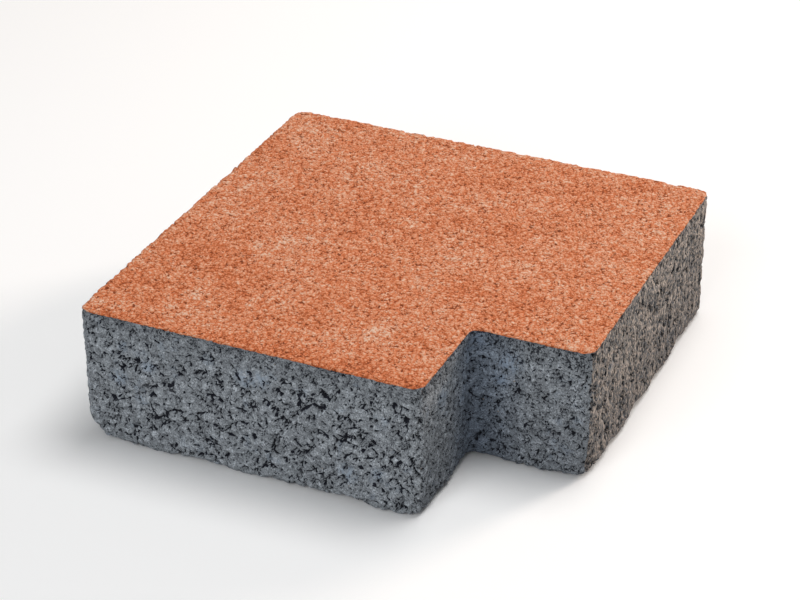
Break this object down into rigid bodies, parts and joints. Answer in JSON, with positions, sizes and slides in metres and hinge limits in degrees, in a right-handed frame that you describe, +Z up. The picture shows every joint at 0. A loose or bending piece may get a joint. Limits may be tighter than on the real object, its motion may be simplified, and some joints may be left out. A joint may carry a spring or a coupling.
{
  "type": "notched concrete paving stone",
  "caption": "Square pressed-concrete paving stone with a square notch in one corner, a terracotta wear face and a grey body.",
  "frame": {"origin": "middle of the 200 mm square on the bed face, at floor level", "axes": "+Z up to the wear face, +X along the front side, +Y towards the back; the corner notch is at +X, -Y"},
  "size_m": [0.2, 0.2, 0.06],
  "materials": {
    "concrete": "rough pressed concrete, through-grey body with a terracotta coloured wear face"
  },
  "bodies": {
    "root": {"paving_stone": "concrete"}
  },
  "joints": []
}
